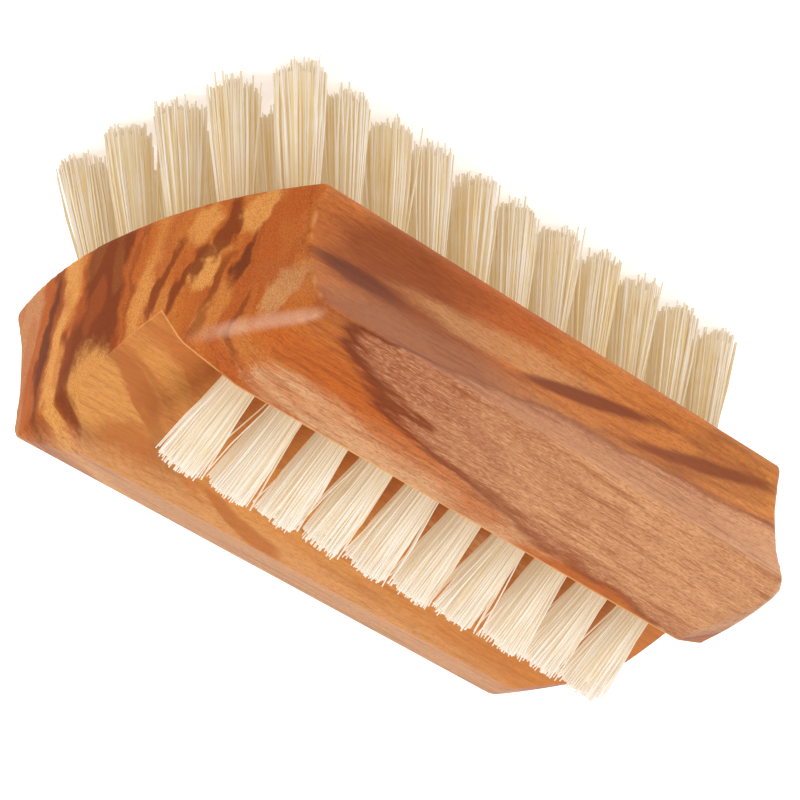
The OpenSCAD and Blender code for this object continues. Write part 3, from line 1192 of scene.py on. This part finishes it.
def bristle_material(name, light, dark, root_shade_colour, tip, glow, glow_strength):
    material, shader = new_material(name)
    tree = shader.id_data
    tone = point_attribute(tree, "tone")
    free = point_attribute(tree, "free_share")
    blotch = noise(place_in_mm(tree), 0.45, 2.0, 0.5)
    colour = blend_colours(spread(tone * 0.7 + blotch * 0.5, 0.35, 0.95), light, dark)
    # Painted shade: the bristles are darkened where they leave the wood
    painted_root_shade = spread(free, 0.0, 0.6, 1.0, 0.0) * 0.75
    colour = blend_colours(painted_root_shade, colour, root_shade_colour)
    bleached = spread(free, 0.7, 1.0, 0.0, 0.5)
    colour = blend_colours(bleached, colour, tip)
    # The glow is painted light: a warm emission stands in for the light that bristle lets through,
    # and fills the shade between the strands
    dress_shader(
        shader,
        {"Base Color": colour, "Roughness": spread(tone, 0.0, 1.0, 0.35, 0.55)},
        {
            "Emission Color": (*glow, 1.0),
            "Emission Strength": glow_strength,
            "Specular IOR Level": 0.3,
            "Sheen Weight": 0.2,
            "Sheen Roughness": 0.5,
            "Sheen Tint": (1.0, 0.9, 0.74, 1.0),
        },
    )
    print(name, len(tree.nodes), "nodes")
    return material


cream = bristle_material(
    "cream bristle",
    light=(0.63, 0.61, 0.56),
    dark=(0.58, 0.47, 0.27),
    root_shade_colour=(0.47, 0.34, 0.15),
    tip=(0.62, 0.59, 0.55),
    glow=(1.0, 0.68, 0.32),
    glow_strength=0.19,
)
white = bristle_material(
    "white bristle",
    light=(0.67, 0.65, 0.61),
    dark=(0.64, 0.56, 0.42),
    root_shade_colour=(0.51, 0.41, 0.26),
    tip=(0.70, 0.70, 0.70),
    glow=(1.0, 0.75, 0.48),
    glow_strength=0.25,
)

# %% Main bristles
lean_scatter = 0.25
root_gap = 0.8
main_count = 300
rng = np.random.default_rng(11)
for column, places in main_places.items():
    tufts = []
    for place in places:
        lean = rng.normal(0, lean_scatter, 2)
        copies = tuft_copies(
            rng,
            count=main_count,
            bristle_r=0.14,
            root_r=1.72,
            tip_r=2.75,
            depth=main_hole_depth - root_gap,
            length=face_z,
            lean=lean,
            ragged=0.65,
            stray_share=0.04,
        )
        tufts.append((place, copies))
    number = f"{column:02d}"
    make_bristles(
        "main_bristles_" + number, tufts, cream, "main_tufts_" + number
    )
print("main bristles:", main_count * main_rows * main_columns)

# %% Nail bristles
nail_len = 12.7
nail_count = 480
for i, place in enumerate(nail_places, start=1):
    lean = rng.normal(0, lean_scatter, 2)
    copies = tuft_copies(
        rng,
        count=nail_count,
        bristle_r=0.11,
        root_r=1.92,
        tip_r=2.45,
        depth=nail_hole_depth - root_gap,
        length=nail_len,
        lean=lean,
        ragged=0.4,
        stray_share=0.07,
    )
    number = f"{i:02d}"
    make_bristles(
        "nail_bristles_" + number, [(place, copies)], white, "nail_tuft_" + number
    )
print("nail bristles:", nail_count * nail_tufts)

# %% [markdown]
# ## Staples
#
# The staples are short pieces of flat brass wire, deep in the holes. The frame already gives them
# their true shape, so they only need their metal: brass, with fine marks from drawing the wire.

# %% Brass
brass, shader = new_material("drawn brass wire")
drawn = grain_noise(place_in_mm(shader.id_data), 12.0, 9.0, 2.0, 0.6)
dress_shader(
    shader,
    {
        "Base Color": blend_colours(drawn, (0.72, 0.52, 0.20), (0.56, 0.37, 0.12)),
        "Roughness": spread(drawn, 0.2, 0.8, 0.22, 0.4),
    },
    {"Metallic": 1.0},
)
for name in ("main_staples", "nail_staples"):
    staples = frame["nodes"][name]
    for material_slot in staples.material_slots:
        material_slot.material = brass
    print(name, "in brass")
